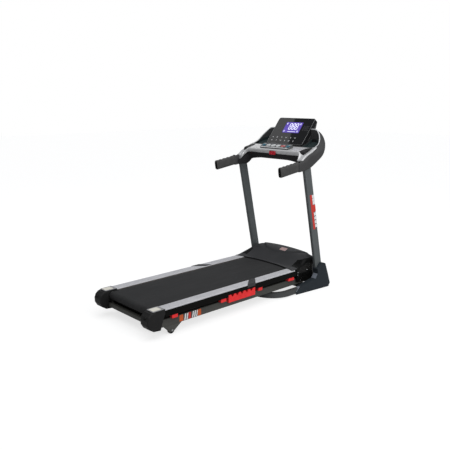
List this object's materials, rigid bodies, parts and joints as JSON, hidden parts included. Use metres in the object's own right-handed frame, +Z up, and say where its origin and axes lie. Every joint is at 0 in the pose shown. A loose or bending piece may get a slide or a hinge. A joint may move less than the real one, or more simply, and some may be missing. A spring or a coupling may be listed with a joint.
{
  "type": "folding treadmill",
  "caption": "Folding motorised treadmill: belt deck that hinges up between leaning uprights with a console, straight handle grips and wheels.",
  "frame": {"origin": "centre of the footprint, on the floor", "axes": "+Z up, +Y from the rear end caps towards the console, +X to the runner's right"},
  "size_m": [0.784, 1.7855, 1.3421],
  "materials": {
    "base_steel": "satin powder coat",
    "zinc_steel": "zinc plated",
    "upright_paint": "metallic blue-grey coat",
    "foot_plastic": "satin",
    "rubber_black": "matte",
    "yoke_plastic": "satin",
    "tray_plastic": "satin",
    "silver_plastic": "silver satin",
    "teal_plastic": "dark teal",
    "display_plastic": "satin",
    "display_pane": "gloss black pane",
    "lcd": "lit segments on violet",
    "keypad_plastic": "gloss",
    "grip_foam": "matte foam",
    "collar_plastic": "gloss",
    "socket_plastic": "matte",
    "deck_steel": "satin powder coat",
    "board": "waxed black face",
    "belt": "textured PVC",
    "rail_plastic": "satin",
    "strip_plastic": "ribbed grey",
    "joiner_plastic": "matte",
    "cap_plastic": "satin",
    "red_elastomer": "matte",
    "motor_steel": "satin",
    "drive_rubber": "ribbed",
    "circuit": "board",
    "hood_plastic": "satin",
    "panel_plastic": "matte",
    "inlet_plastic": "matte",
    "roller_steel": "ground steel",
    "rotor_iron": "machined",
    "wheel_rubber": "matte",
    "strut_paint": "gloss",
    "strut_chrome": "polished",
    "red_plastic": "gloss",
    "rocker_plastic": "gloss",
    "breaker_plastic": "matte",
    "key_white": "satin",
    "key_red": "satin",
    "key_teal": "satin"
  },
  "bodies": {
    "base": {"base_frame": "base_steel", "pivot_brackets": "base_steel", "base_pins": "zinc_steel", "upright_left": "upright_paint", "upright_right": "upright_paint", "foot_cover_left": "foot_plastic", "foot_cover_right": "foot_plastic", "base_feet": "rubber_black", "console_frame": "base_steel", "console_yoke": "yoke_plastic", "console_tray": "tray_plastic", "tray_deck": "silver_plastic", "bottle_trays": "teal_plastic", "tray_trim": "silver_plastic", "display_housing": "display_plastic", "display_lens": "display_pane", "lcd_module": "lcd", "keypad_housing": "keypad_plastic", "grips": "grip_foam", "handle_collars": "collar_plastic", "key_socket": "socket_plastic"},
    "deck": {"deck_frame": "deck_steel", "running_board": "board", "running_belt": "belt", "side_rail_left": "rail_plastic", "side_rail_right": "rail_plastic", "foot_strips": "strip_plastic", "strip_joiners": "joiner_plastic", "end_cap_left": "cap_plastic", "end_cap_right": "cap_plastic", "tension_bolts": "zinc_steel", "cushions": "red_elastomer", "cushion_blocks": "red_elastomer", "deck_axles": "zinc_steel", "motor_housing": "motor_steel", "drive_belt": "drive_rubber", "motor_controller": "circuit", "motor_hood": "hood_plastic", "hood_side_panels": "panel_plastic", "belly_pan": "panel_plastic", "hood_screws": "zinc_steel", "power_inlet": "inlet_plastic"},
    "rear_roller": {"rear_roller": "roller_steel"},
    "front_roller": {"front_roller": "roller_steel"},
    "motor_rotor": {"motor_rotor": "rotor_iron"},
    "rear_wheel_left": {"rear_wheel_left": "wheel_rubber"},
    "rear_wheel_right": {"rear_wheel_right": "wheel_rubber"},
    "transport_wheel_left": {"transport_wheel_left": "wheel_rubber"},
    "transport_wheel_right": {"transport_wheel_right": "wheel_rubber"},
    "strut_tube": {"strut_tube": "strut_paint"},
    "strut_rod": {"strut_rod": "strut_chrome"},
    "safety_key": {"safety_key": "red_plastic"},
    "power_rocker": {"power_rocker": "rocker_plastic"},
    "breaker_button": {"breaker_button": "breaker_plastic"},
    "key_start": {"key_start": "key_white"},
    "key_stop": {"key_stop": "key_red"},
    "key_speed_up": {"key_speed_up": "key_teal"},
    "key_speed_down": {"key_speed_down": "key_teal"},
    "key_mode": {"key_mode": "key_white"},
    "key_program": {"key_program": "key_white"}
  },
  "joints": [
    {"name": "deck_fold", "type": "hinge", "parent": "base", "child": "deck", "pos_m": [0, 0.73925, 0.165], "axis": [-1, 0, 0], "range_deg": [0, 72]},
    {"name": "strut_swing", "type": "hinge", "parent": "base", "child": "strut_tube", "pos_m": [0, 0.64925, 0.066], "axis": [-1, 0, 0], "range_deg": [0, 72.99]},
    {"name": "strut_extend", "type": "slide", "parent": "strut_tube", "child": "strut_rod", "axis": [0, -0.9977, 0.0683], "range_m": [0, 0.1582]},
    {"name": "front_roller_spin", "type": "hinge", "parent": "deck", "child": "front_roller", "pos_m": [0, 0.57425, 0.152], "axis": [1, 0, 0], "continuous": true},
    {"name": "rear_roller_spin", "type": "hinge", "parent": "deck", "child": "rear_roller", "pos_m": [0, -0.79075, 0.152], "axis": [1, 0, 0], "continuous": true},
    {"name": "motor_spin", "type": "hinge", "parent": "deck", "child": "motor_rotor", "pos_m": [0, 0.68225, 0.158], "axis": [1, 0, 0], "continuous": true},
    {"name": "rear_wheel_left_spin", "type": "hinge", "parent": "deck", "child": "rear_wheel_left", "pos_m": [-0.291, -0.68675, 0.025], "axis": [1, 0, 0], "continuous": true},
    {"name": "rear_wheel_right_spin", "type": "hinge", "parent": "deck", "child": "rear_wheel_right", "pos_m": [0.291, -0.68675, 0.025], "axis": [1, 0, 0], "continuous": true},
    {"name": "transport_wheel_left_spin", "type": "hinge", "parent": "base", "child": "transport_wheel_left", "pos_m": [-0.29, 0.84625, 0.025], "axis": [1, 0, 0], "continuous": true},
    {"name": "transport_wheel_right_spin", "type": "hinge", "parent": "base", "child": "transport_wheel_right", "pos_m": [0.29, 0.84625, 0.025], "axis": [1, 0, 0], "continuous": true},
    {"name": "safety_key_pull", "type": "slide", "parent": "base", "child": "safety_key", "axis": [0, -1, 0], "range_m": [0, 0.04]},
    {"name": "power_rocker_tilt", "type": "hinge", "parent": "deck", "child": "power_rocker", "pos_m": [0.21, 0.81425, 0.125], "axis": [1, 0, 0], "range_deg": [0, 14]},
    {"name": "breaker_press", "type": "slide", "parent": "deck", "child": "breaker_button", "axis": [0, -1, 0], "range_m": [0, 0.003], "stiffness_N_per_m": 600, "springref_m": -0.0008},
    {"name": "key_start_press", "type": "slide", "parent": "base", "child": "key_start", "axis": [0, 0.454, -0.891], "range_m": [0, 0.0015], "stiffness_N_per_m": 800, "springref_m": -0.0005},
    {"name": "key_stop_press", "type": "slide", "parent": "base", "child": "key_stop", "axis": [0, 0.454, -0.891], "range_m": [0, 0.0015], "stiffness_N_per_m": 800, "springref_m": -0.0005},
    {"name": "key_speed_up_press", "type": "slide", "parent": "base", "child": "key_speed_up", "axis": [0, 0.454, -0.891], "range_m": [0, 0.0015], "stiffness_N_per_m": 800, "springref_m": -0.0005},
    {"name": "key_speed_down_press", "type": "slide", "parent": "base", "child": "key_speed_down", "axis": [0, 0.454, -0.891], "range_m": [0, 0.0015], "stiffness_N_per_m": 800, "springref_m": -0.0005},
    {"name": "key_mode_press", "type": "slide", "parent": "base", "child": "key_mode", "axis": [0, 0.454, -0.891], "range_m": [0, 0.0015], "stiffness_N_per_m": 800, "springref_m": -0.0005},
    {"name": "key_program_press", "type": "slide", "parent": "base", "child": "key_program", "axis": [0, 0.454, -0.891], "range_m": [0, 0.0015], "stiffness_N_per_m": 800, "springref_m": -0.0005}
  ],
  "couplings": [
    {"joint": "strut_swing", "follows": "deck_fold", "ratio": 1.0096},
    {"joint": "strut_extend", "follows": "deck_fold", "m_per_rad": 0.12509},
    {"joint": "rear_roller_spin", "follows": "front_roller_spin", "ratio": 1},
    {"joint": "motor_spin", "follows": "front_roller_spin", "ratio": 1.9}
  ]
}
